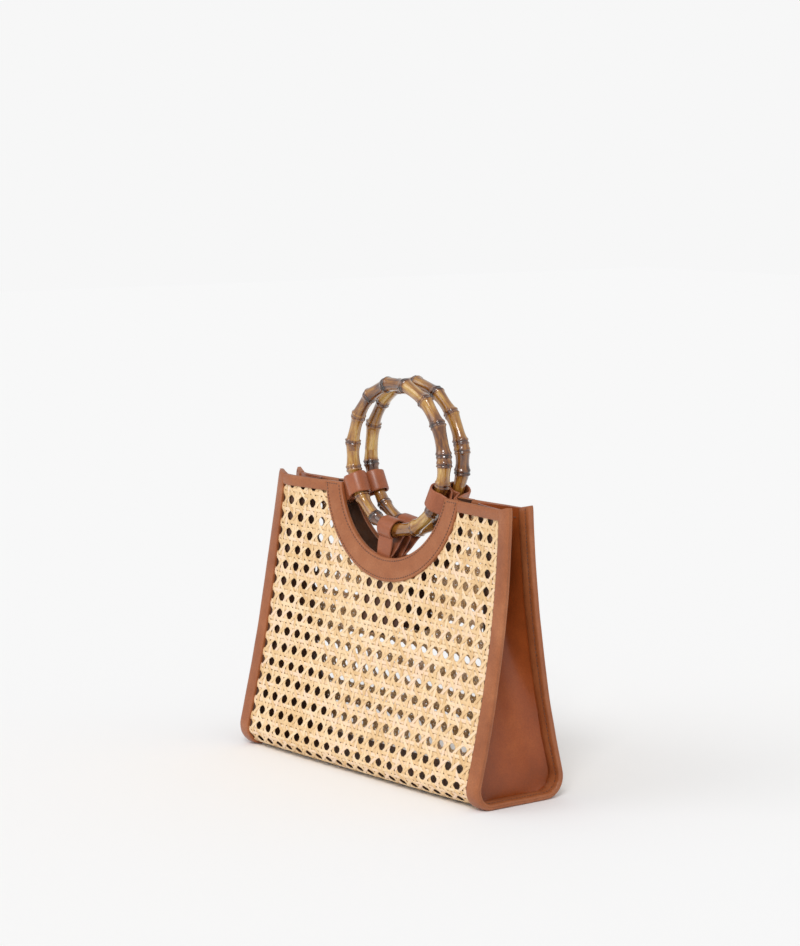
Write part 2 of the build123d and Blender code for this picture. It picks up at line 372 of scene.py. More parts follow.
def thread_material():
    """Waxed thread, with the dark lines of its twist."""
    mat, tree, shader = material("waxed_thread", 0.6, sheen=0.3)
    inputs = {"Vector": coordinates(tree), "Scale": 600.0, "Distortion": 1.5}
    twist = node(tree, "ShaderNodeTexWave", inputs, bands_direction="DIAGONAL").outputs["Fac"]
    colour = ramp(tree, twist, [(0.2, "4E2A18"), (0.8, "744227")])
    tree.links.new(colour, shader.inputs["Base Color"])
    return mat


TRIM = leather("trim_leather", "94522D", "A36037", "B27148")
BINDING = leather("binding_leather", "91502B", "A25E35", "B67349")
GUSSET = leather("gusset_leather", "8A431A", "9C4C1E", "AB5A28", roughness=0.4)
LOOP = leather("loop_leather", "94502F", "A25C3A", "B57350", roughness=0.36)
# Dark leather for the inside: partly the lining's own colour, partly painted shade of the bag's inside
LINING_AND_SHADE = leather("lining_and_shade_leather", "3A1E10", "4A2914", "5A351C", roughness=0.6)
UPRIGHT = cane_material("cane_upright", (8, 8, 0.6))
CROSS = cane_material("cane_crosswise", (0.6, 8, 8))
SLANT = cane_material("cane_slanting", (3, 3, 3))
BAMBOO = bamboo_material()
THREAD = thread_material()


# Mesh helpers


def build(name, verts, faces, mat, body="bag", replaced=(), attributes=None):
    """A smooth-shaded piece on its body. An attribute has one value, or three, for each vertex."""
    mesh = bpy.data.meshes.new(name)
    mesh.from_pydata(verts, [], faces)
    mesh.validate()
    for key, values in (attributes or {}).items():
        if len(values) == len(verts):
            mesh.attributes.new(key, "FLOAT", "POINT").data.foreach_set("value", values)
        else:
            mesh.attributes.new(key, "FLOAT_VECTOR", "POINT").data.foreach_set("vector", values)
    mesh.materials.append(mat)
    piece = bpy.data.objects.new(name, mesh)
    bpy.context.scene.collection.objects.link(piece)
    work = bmesh.new()
    work.from_mesh(mesh)
    bmesh.ops.recalc_face_normals(work, faces=work.faces)
    work.to_mesh(mesh)
    work.free()
    for polygon in mesh.polygons:
        polygon.use_smooth = True
    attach(piece, body)
    if replaced:
        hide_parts(*replaced)
    return piece


def crease(piece, angle):
    """Keeps edges sharper than this angle sharp."""
    mesh = piece.data
    work = bmesh.new()
    work.from_mesh(mesh)
    for edge in work.edges:
        if len(edge.link_faces) == 2 and edge.calc_face_angle(0) > radians(angle):
            edge.smooth = False
    work.to_mesh(mesh)
    work.free()


def line_and_shade_inside(piece, faces):
    """Gives these faces the dark lining leather, whose darkness is partly painted shade of the bag's inside.
    """
    piece.data.materials.append(LINING_AND_SHADE)
    for index in faces:
        piece.data.polygons[index].material_index = 1


def skin(first, rows, sides, closed=False):
    """Quads between rows of points that go round, where `first` is the number of the first point."""
    faces = []
    for row in range(rows if closed else rows - 1):
        a, b = first + row * sides, first + (row + 1) % rows * sides
        for i in range(sides):
            j = (i + 1) % sides
            faces.append((a + i, a + j, b + j, b + i))
    return faces


def caps(first, rows, sides):
    """The two faces that close the ends of such a skin."""
    last = first + (rows - 1) * sides
    return [tuple(range(first, first + sides)), tuple(reversed(range(last, last + sides)))]


def strip(name, section, rows, point, mat, slot, *replaced, sharp=50):
    """A closed section swept along rows, where point(section item, row) gives each place."""
    verts = [point(item, row) for row in rows for item in section]
    faces = skin(0, len(rows), len(section)) + caps(0, len(rows), len(section))
    piece = build(name, verts, faces, mat, replaced=replaced)
    crease(piece, sharp)
    return piece


# Woven cane

PITCH = 12.7
STEP = PITCH / 5
FIRST_HOLE_X = -5.9
FIRST_HOLE_DOWN = 21.3
STRAND_HALF = 1.44
SLANT_HALF = STRAND_HALF * 0.96
# The strands of a pair lie this far to each side of their line.
PAIR = 1.62
# Place across a strand, as a share of its half width, and depth
STRAND_SECTION = [(-1, 0.08), (-0.72, -0.12), (0.72, -0.12), (1, 0.08), (0.7, 0.28), (-0.7, 0.28)]
# How far strands rise and fall as they cross, and how unevenly they lie
WEAVE = 0.24
SLANT_WEAVE = WEAVE + 0.1
WANDER = 0.12
BEND = 0.16
# The lattice hangs a little lower towards the right.
LATTICE_TILT = 0.012
LATTICE_DROP = 0.7
CANE_DEPTH = 2.2
STRAIGHT_DEPTH = CANE_DEPTH - 0.15
SLANT_DEPTH = CANE_DEPTH - 0.2
# Where the webbing ends: under the bindings, under the bands and behind the facings
CANE_END = 143.0
CANE_TRIM = 2
HOLE_CLEAR = CUTOUT_RADIUS + 8
# Enough slanting strands each way to reach every corner of the sheet
SLANTS = 70


def hung(x, s):
    """s on the sheet of a point of the lattice, which is tilted."""
    return s + LATTICE_TILT * x - LATTICE_DROP


def in_sheet(x, s):
    """Whether the webbing covers this place, which is inside its edges and clear of the cutouts."""
    if abs(x) > CANE_END or not CANE_TRIM < s < SHEET_LENGTH - CANE_TRIM:
        return False
    z = PROFILE.at(min(s, SHEET_LENGTH - s) + EDGE)[1]
    return hypot(x, z - CUTOUT_Z) >= HOLE_CLEAR


class Strands:
    """Ribbons of cane, each crowned on its outer side, gathered into one mesh."""

    def __init__(self):
        self.verts, self.faces, self.tone = [], [], []

    def add(self, path, across, half, tone):
        """path has (x, s, depth) points, across is the sideways direction in (x, s)."""
        runs = [[]]
        for x, s, depth in path:
            if in_sheet(x, hung(x, s)):
                runs[-1].append((x, s, depth))
            else:
                runs.append([])
        for run in runs:
            if len(run) > 1:
                self.add_run(run, across, half, tone)

    def add_run(self, run, across, half, tone):
        first = len(self.verts)
        wander = random.uniform(-WANDER, WANDER)
        for x, s, depth in run:
            for side, sunk in STRAND_SECTION:
                offset = half * side + wander
                spot = place(x + across[0] * offset, hung(x, s) + across[1] * offset, depth + sunk)
                self.verts.append(spot)
                self.tone.append(tone)
        self.faces += skin(first, len(run), len(STRAND_SECTION))
        self.faces += caps(first, len(run), len(STRAND_SECTION))

    def build(self, name, mat, replaced=()):
        build(name, self.verts, self.faces, mat, replaced=replaced, attributes={"tone": self.tone})


def wave(t, phase):
    """Over and under once every two steps of t."""
    return cos(pi * (t + phase))


def straight_strands(lines, crossed, low, high, phase, bend_length, upright=False):
    """A pair of strands on each line, from low to high, over and under the lines that it crosses."""
    strands = Strands()
    count = int((high - low) / STEP)
    for line in lines:
        for k, shift in enumerate((-PAIR, PAIR)):
            tone = random.random()
            bend = random.uniform(0, 6)
            path = []
            for n in range(count + 1):
                t = low + n * (high - low) / count
                depth = STRAIGHT_DEPTH - wave((t - crossed[0]) / PITCH, k + phase) * WEAVE
                aside = line + shift + BEND * sin(t / bend_length + bend)
                path.append((aside, t, depth) if upright else (t, aside, depth))
            strands.add(path, (1, 0) if upright else (0, 1), STRAND_HALF, tone)
    return strands


def slanting_strands(sign):
    """Strands that cross between neighbouring holes, and go to the right or the left as they go down."""
    strands = Strands()
    x0, s0 = FIRST_HOLE_X, FIRST_HOLE_DOWN + PITCH / 2
    count = int(SHEET_LENGTH / STEP * 1.25)
    for i in range(-SLANTS, SLANTS):
        start_x = x0 + i * PITCH
        tone = random.random()
        path = []
        for n in range(count + 1):
            s = n * SHEET_LENGTH / count
            x = start_x + sign * (s - s0)
            if abs(x) > CANE_END + STEP:
                continue
            cell = (s - s0) / PITCH
            path.append((x, s, SLANT_DEPTH - cos(2 * pi * cell) * sign * SLANT_WEAVE))
        if len(path) > 2:
            strands.add(path, (1 / sqrt(2), -sign / sqrt(2)), SLANT_HALF, tone)
    return strands


def weave_cane():
    """The webbing's four layers of strands, which together stand for the CAD sheet."""
    across = [FIRST_HOLE_X + column * PITCH + PITCH / 2 for column in range(-12, 12)]
    downward = [FIRST_HOLE_DOWN - PITCH / 2 + i * PITCH for i in range(-1, int(SHEET_LENGTH / PITCH) + 1)]
    uprights = straight_strands(across, downward, 0, SHEET_LENGTH, phase=0, bend_length=23, upright=True)
    uprights.build("cane_uprights", UPRIGHT, replaced=("cane_body",))
    crosswise = straight_strands(downward, across, -CANE_END, CANE_END, phase=1, bend_length=21)
    crosswise.build("cane_crosswise", CROSS)
    slanting_strands(1).build("cane_slanting_up", SLANT)
    slanting_strands(-1).build("cane_slanting_down", SLANT)


weave_cane()


# Leather pieces

# Points of a section that are less deep than this are on the outer face.
OUTER_FACE = 1.5
# The facings are pinched in one place, beside the middle of the cutout.
PINCH_X = 3
# The seam inside each binding is this far from its outer edge.
BINDING_SEAM = 4.6


def top_band(side, hand):
    """Leather folded over the mouth's edge, between the facing and the binding."""
    # How far down and how deep: up the outer face, over the edge and down the inner face
    section = [
        (BAND_WIDTH, 1.5), (BAND_WIDTH + 0.05, 0.75), (BAND_WIDTH - 0.35, 0.45), (BAND_WIDTH - 1.5, 0.3),
        (BAND_WIDTH / 2, 0.12), (1.6, 0.2), (0.6, 0.55), (0.05, 1.4), (-0.12, 2.3), (0.1, 3.2), (0.7, 4.0),
        (1.7, 4.4), (BAND_WIDTH - 1.0, 4.5), (BAND_WIDTH, 4.4), (BAND_WIDTH, 3.0),
    ]

    def point(item, t):
        drop, depth = item
        z = TOP - max(drop, 0)
        x_near = sqrt((FACING_RADIUS + 0.05) ** 2 - (CUTOUT_Z - z) ** 2)
        x = x_near + (BINDING_INNER + 0.3 - x_near) * t
        # The inner face stays clear of the folded end, which comes near it from x 108 on.
        depth = min(depth, 4.5 - 1.9 * smooth((x - 108) / 8))
        ripple = 0.12 * sin(x / 5.1 + side) if depth < 2 else 0
        return wall(side, hand * x, z, depth + ripple)

    name = f"{WALLS[side]}_band_{HANDS[hand]}"
    node_name = f"{WALLS[side]}_top_band_{HANDS[hand]}"
    strip(name, section, spread(0, 1, 26), point, TRIM, "trim_leather", node_name)


def stem_angle(radius):
    """Angle below level at which the facing meets the top edge."""
    return asin((CUTOUT_Z - TOP) / radius)


def facing(side):
    """The leather band round the cutout, outside and inside."""
    outer, inner = FACING_RADIUS, CUTOUT_RADIUS
    middle = (outer + inner) / 2
    # Radius and depth: the outer face with both seams pressed in, the cutout's edge and the inner face
    section = [
        (outer, 1.5), (outer + 0.02, 0.6), (outer - 0.3, 0.2), (outer - 1.2, 0.02), (outer - 2.2, 0.12),
        (outer - 3.2, 0.0), (outer - 6, -0.12), (middle, -0.2), (inner + 5, -0.12), (inner + 3.2, 0.0),
        (inner + 2.4, 0.12), (inner + 1.4, 0.05), (inner + 0.5, 0.3), (inner + 0.05, 1.0), (inner, 2.3),
        (inner + 0.05, 3.6), (inner + 0.6, 4.3), (inner + 1.6, 4.5), (middle, 4.55), (outer - 1.0, 4.5),
        (outer, 4.2), (outer, 3.0),
    ]
    # The items that begin the inner face's quads, which get the dark lining leather, partly painted shade of
    # the bag's inside
    dark_from, dark_to = 16, 20
    rows = spread(0, 1, 72)
    # The outer face is pressed in over the last millimetre before each end.
    facing_length, eased = 260, 1.2

    def point(item, t):
        radius, depth = item
        start = pi + stem_angle(radius)
        end = 2 * pi - stem_angle(radius)
        angle = start + (end - start) * t
        x = radius * cos(angle)
        z = min(CUTOUT_Z + radius * sin(angle), TOP)
        if depth < OUTER_FACE:
            from_end = min(t, 1 - t) * facing_length
            depth += 0.35 * max(1 - from_end / eased, 0)
        if depth < OUTER_FACE:
            depth += 0.3 * bell(x - PINCH_X, 1.1) - 0.25 * bell(x - PINCH_X, 6)
        return wall(side, x, z, depth)

    name = WALLS[side]
    replaced = f"{name}_facing", f"{name}_inner_facing"
    piece = strip(f"{name}_mouth_facing", section, rows, point, TRIM, "trim_leather", *replaced)
    quads = range((len(rows) - 1) * len(section))
    line_and_shade_inside(piece, [k for k in quads if dark_from <= k % len(section) <= dark_to])


def binding(hand):
    """Folded leather strip down the front, under the base and up the back."""
    inner, outer, thick = BINDING_INNER, HALF_LENGTH, BINDING_THICK
    # Place across and depth: the outer face, the end's rounded edge and the inner face with its seam
    section = [
        (inner, 1.4), (inner - 0.02, 0.45), (inner + 0.35, 0.12), (inner + 1.2, 0.0), (inner + 4, -0.22),
        (inner + 8, -0.2), (outer - 2.0, 0.05), (outer - 0.8, 0.4), (outer - 0.1, 1.15), (outer - 0.02, 1.9),
        (outer - 0.3, 2.3), (outer, 2.7), (outer - 0.1, thick - 1.0), (outer - 0.7, thick - 0.35),
        (outer - 2.0, thick), (outer - 4.0, thick), (outer - BINDING_SEAM, thick - 0.25),
        (outer - 5.2, thick), (inner + 3, thick + 0.1), (inner + 0.5, thick), (inner, thick - 0.5),
        (inner, 3.0),
    ]
    rows = spread(down(TIP), SHEET_LENGTH - down(TIP), 230)
    corner = (down(14) + down(2)) / 2
    corner_reach = 15
    slant, slant_length = 2.2, 9

    def point(item, s):
        x, depth = item
        from_top, from_end = s - rows[0], rows[-1] - s
        # Pressed thinner at both ends, and nowhere quite even
        squeeze = smooth(min(from_top, from_end) / 3)
        depth = thick / 2 + (depth - thick / 2) * (0.72 + 0.28 * squeeze)
        depth += 0.2 * noise.noise(Vector((x * 0.11, s * 0.05, hand * 3.7 + 10)))
        edge = smooth((x - inner) / (outer - inner))
        slip = 0.6 * edge * noise.noise(Vector((s * 0.021, hand * 2.0, 4.1)))
        # The ends are cut at a slant, higher at the outer edge.
        s += slant * (1 - edge) * (1 - smooth(from_top / slant_length))
        s -= slant * (1 - edge) * (1 - smooth(from_end / slant_length))
        # Wrinkles where the strip turns round the lower corners, on the inner side
        if item[1] > thick - 0.6:
            near = max(1 - abs(t - corner) / corner_reach for t in (s, SHEET_LENGTH - s))
            near = max(near, 0)
            depth += 0.55 * near * sin(s * 1.9 + x * 0.5) + 0.7 * near * (1 - edge)
        return place(hand * (x + slip), s, depth)

    name = HANDS[hand]
    node_name = f"{name}_binding"
    strip(f"{name}_edge_binding", section, rows, point, BINDING, "trim_leather", node_name, sharp=55)


def inner_half(z, depth):
    """Half the depth inside the bag at height z, between layers that lie this deep in the walls."""
    z = max(z, depth + 0.001)
    y, _, ny, _ = PROFILE.at(EDGE + down(clamp(z, CORNER_RADIUS, TOP)))
    width = -y - depth * abs(ny)
    if z < CORNER_RADIUS:
        round_in = CORNER_RADIUS - depth
        drop = CORNER_RADIUS - z
        width -= round_in - sqrt(max(round_in**2 - drop**2, 0.0))
    return width


GUSSET_HALF_THICK = 0.75
# How far below the mouth the hem reaches and its seam is
HEM = 14
HEM_SEAM = 8


def gusset_grid(hand):
    """Middle of a folded end's leather, as for the right end: rows go up, columns front to back."""
    # The flange lies under the binding's inner face, and the fold starts just inside its edge.
    start = BINDING_INNER - 1.5
    depth = BINDING_THICK - 1.4
    low, high = 2.9, TOP - 0.3
    flange = 6
    half = [-1, -0.985, -0.965, -0.94, -0.9, -0.85, -0.78, -0.68, -0.55, -0.38, -0.2]
    web = half + [0] + [-v for v in reversed(half)]
    grid = []
    for t in spread(0, 1, 80):
        z = low + (high - low) * t**0.9
        side = inner_half(z, depth)
        fold = FOLD_AT_FLOOR + (FOLD_AT_TOP - FOLD_AT_FLOOR) * (z / TOP) ** 1.15
        row = [Vector((start + flange, -side, z))]
        for v in web:
            x = start - fold * (1 - abs(v) ** FOLD_SQUARENESS)
            # Soft hollows in the hanging leather, and the hem's thickness at the mouth
            hollow = (1 - v * v) * noise.noise(Vector((v * 1.3, z * 0.022, hand * 5.0)))
            x += 1.4 * hollow * smooth(z / 30)
            x += 0.9 * smooth((z - (TOP - HEM)) / 10) * (1 - v * v)
            row.append(Vector((x, v * side, z)))
        row.append(Vector((start + flange, side, z)))
        grid.append(row)
    return grid


def grid_normal(grid, r, c):
    last_row, last_column = len(grid) - 1, len(grid[0]) - 1
    along = grid[r][min(c + 1, last_column)] - grid[r][max(c - 1, 0)]
    up = grid[min(r + 1, last_row)][c] - grid[max(r - 1, 0)][c]
    return along.cross(up).normalized()


def at_end(hand, p):
    """A place in a folded end, from the right end's straight form to this end's soft one."""
    return Vector((hand * p.x, p.y + drift(hand * p.x, p.y, p.z), p.z)) * MM


def gusset(hand):
    """End wall: flat and shallow at the floor, folded deep into the bag at the mouth."""
    grid = gusset_grid(hand)
    n, m = len(grid[0]), len(grid)
    verts, faces = [], []
    for offset in (GUSSET_HALF_THICK, -GUSSET_HALF_THICK):
        for r in range(m):
            for c in range(n):
                p = grid[r][c] + grid_normal(grid, r, c) * offset
                p.z = min(p.z, TOP - 0.05)
                verts.append(at_end(hand, p))

    def number(layer, r, c):
        return (layer * m + r) * n + c

    for layer in (0, 1):
        for r in range(m - 1):
            for c in range(n - 1):
                corners = ((r, c), (r, c + 1), (r + 1, c + 1), (r + 1, c))
                faces.append(tuple(number(layer, *corner) for corner in corners))
    inner_layer = range(len(faces) // 2, len(faces))
    for c in range(n - 1):
        for r in (0, m - 1):
            faces.append((number(0, r, c), number(0, r, c + 1), number(1, r, c + 1), number(1, r, c)))
    for r in range(m - 1):
        for c in (0, n - 1):
            faces.append((number(0, r, c), number(0, r + 1, c), number(1, r + 1, c), number(1, r, c)))
    name = HANDS[hand]
    piece = build(f"{name}_folded_end", verts, faces, GUSSET, replaced=(f"{name}_gusset",))
    # The inner layer faces into the bag and gets the dark lining leather, partly painted shade of the bag's
    # inside
    line_and_shade_inside(piece, inner_layer)
    crease(piece, 60)


def patch(side):
    """Tab behind the weave, under the facing, with rounded lower corners."""
    low, high = PATCH_LOW[2], CUTOUT_Z - CUTOUT_RADIUS - 4
    half = PATCH_HIGH[0]
    radius = half * 0.55
    # Place across, as a share of the half width, and depth
    section = [
        (-1, 3.3), (-0.985, 3.15), (-0.9, 3.1), (0.9, 3.1), (0.985, 3.15), (1, 3.3),
        (1, 4.3), (0.97, 4.45), (-0.97, 4.45), (-1, 4.3),
    ]

    def point(item, z):
        u, depth = item
        rise = min((z - low) / radius, 1)
        width = half - radius * (1 - sqrt(1 - (1 - rise) ** 2))
        return wall(side, u * max(width, 2), z, depth)

    name = WALLS[side]
    rows = spread(low, high, 24)
    strip(f"{name}_backing_tab", section, rows, point, LINING_AND_SHADE, "loop_leather", f"{name}_patch")


def board():
    """Leather-covered board on the base, with rounded corners and edges."""
    low, high = BOARD_LOW, BOARD_HIGH
    levels = [
        (low[2], 0.8), (low[2] + 0.6, 0.0), (high[2] - 0.8, 0.0), (high[2] - 0.2, 0.5), (high[2], 1.5),
    ]
    radius = 4.0
    outline = []
    for cx, cy, start in ((1, 1, 0), (-1, 1, 90), (-1, -1, 180), (1, -1, 270)):
        for a in spread(start, start + 90, 7):
            outline.append((cx, cy, cos(radians(a)), sin(radians(a))))
    verts = []
    for z, inset in levels:
        for cx, cy, dx, dy in outline:
            x = cx * (high[0] - radius) + dx * (radius - inset)
            y = cy * (high[1] - radius) + dy * (radius - inset)
            verts.append(Vector((x, y, z)) * MM)
    faces = skin(0, len(levels), len(outline)) + caps(0, len(levels), len(outline))
    piece = build("base_panel", verts, faces, LINING_AND_SHADE, replaced=("base_board",))
    crease(piece, 50)


for end_hand in HANDS:
    binding(end_hand)
for end_hand in HANDS:
    gusset(end_hand)
for wall_side in WALLS:
    facing(wall_side)
    patch(wall_side)
    for wall_hand in HANDS:
        top_band(wall_side, wall_hand)
board()


# Rings

RING_STEPS, RING_SIDES = 720, 26
# The thickest that a node may be and still turn inside the loops
ROD_LIMIT = 6.2
# Degrees round the ring at which its nodes are, counted up from level on the right
NODE_ANGLES = [-168, -143, -120, -94, -69, -43, -18, -2, 5, 29, 52, 78, 101, 125, 148, 171]
# The back ring's nodes are turned on, and the last of them twice as far.
BACK_TURN = 9
BACK_NODE_ANGLES = [a + BACK_TURN for a in NODE_ANGLES[:-1]] + [NODE_ANGLES[-1] + 2 * BACK_TURN - 360]


def ring_centre(name):
    return Vector(RING_CENTRES[f"{name}_ring"]) + Vector((0, RING_SWAY, 0))


def ring_direction(angle):
    return Vector((cos(radians(angle)), 0, sin(radians(angle))))


def ring(name, seed, angles):
    """Bent bamboo root: waisted stretches that swell to a scarred collar at each node."""
    random.seed(seed)
    centre = ring_centre(name)
    marks = sorted(angles)
    # How far each node is pushed outward and along the axis, and its size
    kinks = [
        (random.uniform(-0.2, 0.2), random.uniform(-0.15, 0.15), random.uniform(0.88, 1.1)) for _ in marks
    ]
    tones = [random.random() for _ in marks]
    arc = RING_RADIUS * radians(1)
    verts, tone, dark, grain = [], [], [], []
    for n in range(RING_STEPS):
        angle = -180 + 360 * n / RING_STEPS
        # The stretch that this angle is in, from one node to the next
        after = next((i for i, a in enumerate(marks) if a > angle), 0)
        before = after - 1
        low, high = marks[before], marks[after]
        if high <= low and angle < high:
            low -= 360
        elif high <= low:
            high += 360
        t = (angle - low) / (high - low)
        past, ahead = (angle - low) * arc, (high - angle) * arc
        nearest = min(past, ahead)
        # Partly straight between its nodes, as a root that was bent stretch by stretch
        half = radians((high - low) / 2)
        straight = cos(half) / cos(radians(angle - (low + high) / 2))
        push = kinks[before][0] * (1 - t) + kinks[after][0] * t
        shift = kinks[before][1] * (1 - t) + kinks[after][1] * t
        radius = RING_RADIUS * (0.35 + 0.65 * straight) + push
        size = kinks[before][2] if past < ahead else kinks[after][2]
        # Two ridges with a groove between them, and the flare of the stretch that ends here
        collar = 0.45 * bell(nearest, 0.9) + 0.45 * bell(past - 3.0, 1.1) - 0.2 * bell(past - 1.6, 0.6)
        flare = 0.75 * bell(past - 1.5, 4.4) + 0.3 * bell(ahead, 4.5)
        rod = ROD_RADIUS * (0.965 - 0.055 * sin(pi * t)) + (collar + flare) * size
        # Dark in the groove and on the scar, and scorched to both sides
        groove = 0.9 * bell(past - 1.6, 0.7) + 0.7 * bell(nearest, 0.4)
        scorch = 0.55 * bell(past, 9 * kinks[before][2]) + 0.15 * bell(ahead, 4)
        blend_in = smooth((t - 0.9) / 0.1)
        direction = ring_direction(angle)
        middle = centre + Vector((0, shift, 0)) + direction * radius
        for k in range(RING_SIDES):
            a = 2 * pi * k / RING_SIDES
            lump = 0.2 * noise.noise(Vector((cos(a) * 1.3 + seed, sin(a) * 1.3, angle * 0.09)))
            bud = max(0.0, sin(a * 6 + before * 1.7)) ** 2 * bell(past - 2.9, 0.8)
            flat = 1 - 0.05 * cos(2 * a + before)
            r = min((rod + lump + 0.4 * bud) * flat, ROD_LIMIT)
            verts.append((middle + direction * (r * cos(a)) + Vector((0, r * sin(a), 0))) * MM)
            tone.append(tones[before] * (1 - blend_in) + tones[after] * blend_in)
            dark.append(min(groove + scorch + 0.5 * bud, 1.5))
            grain += [angle * arc * 0.035 + seed, cos(a), sin(a)]
    build(
        f"{name}_bamboo_ring", verts, skin(0, RING_STEPS, RING_SIDES, closed=True), BAMBOO,
        body=f"{name}_ring", replaced=(f"{name}_ring",),
        attributes={"tone": tone, "node": dark, "grain": grain},
    )


ring("front", 11, NODE_ANGLES)
ring("back", 23, BACK_NODE_ANGLES)


# Loops

LOOP_ANGLES = {"left": -153.0, "bottom": -97.0, "right": -28.0}
# The strap's turn round the rod: its middle, from the ring's centre, its radius, and degrees to each side
LOOP_CENTRE = 54.75
LOOP_ROUND = 7.9
LOOP_TURN = 140
LOOP_POINTS = 17
# The distance between points on the strap's straight parts
LOOP_STEP = 2.2
STRAP_HALF = 0.8
STRAP_WIDTH_HALF = 7.9
# The strap's ends lie on the inner facing, this long and this deep.
TAIL = 11
TAIL_DEPTH = 4.6 + STRAP_HALF + 0.15


def rim_distance(angle):
    """How far the cutout's rim is from the ring's centre in this direction."""
    rise = sin(radians(angle))
    gap = RING_CENTRES["front_ring"][2] - CUTOUT_Z
    sideways = abs(cos(radians(angle))) * gap + 8
    return sqrt(CUTOUT_RADIUS**2 - sideways**2) - rise * gap


def between(a, b):
    """Points on the straight way from a to b, without its ends."""
    steps = max(int(hypot(b[0] - a[0], b[1] - a[1]) / LOOP_STEP), 1)
    return [tuple(p + (q - p) * i / steps for p, q in zip(a, b)) for i in range(1, steps)]


def spline(a, b, c, d, t):
    """Between b and c, smooth with a before them and d after them (Catmull-Rom)."""
    bend, twist = 2 * a - 5 * b + 4 * c - d, 3 * b - a - 3 * c + d
    return 0.5 * (2 * b + (c - a) * t + bend * t * t + twist * t**3)


def smooth_line(points, parts=4):
    """A smooth line through these points, with this many parts between two of them."""
    line = []
    last = len(points) - 1
    for i in range(last):
        around = points[max(i - 1, 0)], points[i], points[i + 1], points[min(i + 2, last)]
        for n in range(parts):
            line.append(tuple(spline(*along, n / parts) for along in zip(*around)))
    return line + [points[-1]]


def loop(side, key, angle):
    """Strap that comes from behind the facing, goes round the ring and back."""
    name = WALLS[side]
    centre = ring_centre(name)
    direction = ring_direction(angle)
    along = Vector((-direction.z, 0, direction.x))
    start = rim_distance(angle) + 1.5
    end = start + TAIL

    def tail(distance):
        """A point of the strap's end on the inner facing, as distance from the ring's centre and y."""
        spot = centre + direction * distance
        inside = wall(side, spot.x, min(spot.z, TOP - 1), TAIL_DEPTH) / MM
        return distance, inside.y - centre[1]

    out = [tail(end), tail((start + end) / 2), tail(start)]
    back = [(d, y - side * 2 * STRAP_HALF * 1.05) for d, y in reversed(out)]
    turn = []
    for a in spread(LOOP_TURN, -LOOP_TURN, LOOP_POINTS):
        turn.append((LOOP_CENTRE - LOOP_ROUND * cos(radians(a)), side * LOOP_ROUND * sin(radians(a))))
    path = smooth_line(out + between(out[-1], turn[0]) + turn + between(turn[-1], back[0]) + back)
    # Place across and distance from the strap's middle in half thicknesses: one face, then the other
    half = STRAP_WIDTH_HALF
    face = [
        (-half, 0.5), (-half + 0.35, 0.92), (-half + 1.2, 1.0), (0, 1.04),
        (half - 1.2, 1.0), (half - 0.35, 0.92), (half, 0.5),
    ]
    section = face + [(across, -thick) for across, thick in reversed(face)]

    def point(item, i):
        across, thick = item
        a, b = path[max(i - 1, 0)], path[min(i + 1, len(path) - 1)]
        tangent = Vector((b[0] - a[0], b[1] - a[1]))
        tangent.normalize()
        d = path[i][0] - tangent.y * thick * STRAP_HALF
        y = path[i][1] + tangent.x * thick * STRAP_HALF
        narrow = 1 - 0.04 * sin(i * 0.21)
        return (centre + direction * d + Vector((0, y, 0)) + along * across * narrow) * MM

    rows = range(len(path))
    strip(f"{name}_strap_{key}", section, rows, point, LOOP, "loop_leather", f"{name}_loop_{key}")


for wall_side in WALLS:
    for loop_name, loop_angle in LOOP_ANGLES.items():
        loop(wall_side, loop_name, loop_angle)


# Stitches

THREAD_HALF_WIDTH = 0.34
THREAD_HEIGHT = 0.26
THREAD_SIDES = 6
# Along a stitch: place, lift and thickness, so that both ends go into the leather
STITCH_ROWS = [(0.0, -0.1, 0.6), (0.2, 0.7, 1.0), (0.8, 0.7, 1.0), (1.0, -0.1, 0.6)]
FACING_SEAMS = (CUTOUT_RADIUS + 2.3, FACING_RADIUS - 2.2)


class Stitches:
    """Short thread stitches, each a small rounded bar laid on a surface."""

    def __init__(self):
        self.verts, self.faces = [], []

    def add(self, a, b, up):
        along = (b - a).normalized()
        side = along.cross(up).normalized()
        rise = side.cross(along).normalized()
        if rise.dot(up) < 0:
            rise = -rise
        first = len(self.verts)
        for t, lift, thin in STITCH_ROWS:
            middle = a.lerp(b, t) + rise * (THREAD_HEIGHT * lift * MM)
            for k in range(THREAD_SIDES):
                angle = 2 * pi * k / THREAD_SIDES
                wide = side * (THREAD_HALF_WIDTH * thin * cos(angle) * MM)
                high = rise * (THREAD_HEIGHT * thin * sin(angle) * MM)
                self.verts.append(middle + wide + high)
        self.faces += skin(first, len(STITCH_ROWS), THREAD_SIDES)
        self.faces += caps(first, len(STITCH_ROWS), THREAD_SIDES)

    def run(self, line, ups, pitch=2.6, length=1.7):
        """Stitches along a line of points; ups has the outward direction at each point."""
        lengths = [0.0]
        for a, b in zip(line, line[1:]):
            lengths.append(lengths[-1] + (b - a).length / MM)
        total = lengths[-1]

        def at(s):
            for i in range(len(line) - 1):
                if s <= lengths[i + 1]:
                    t = (s - lengths[i]) / max(lengths[i + 1] - lengths[i], 1e-9)
                    return line[i].lerp(line[i + 1], t), i
            return line[-1], len(line) - 1

        count = int(total / pitch)
        for n in range(count):
            s = (n + 0.5) * total / count
            a, i = at(s - length / 2)
            b, _ = at(s + length / 2)
            self.add(a, b, ups[i])


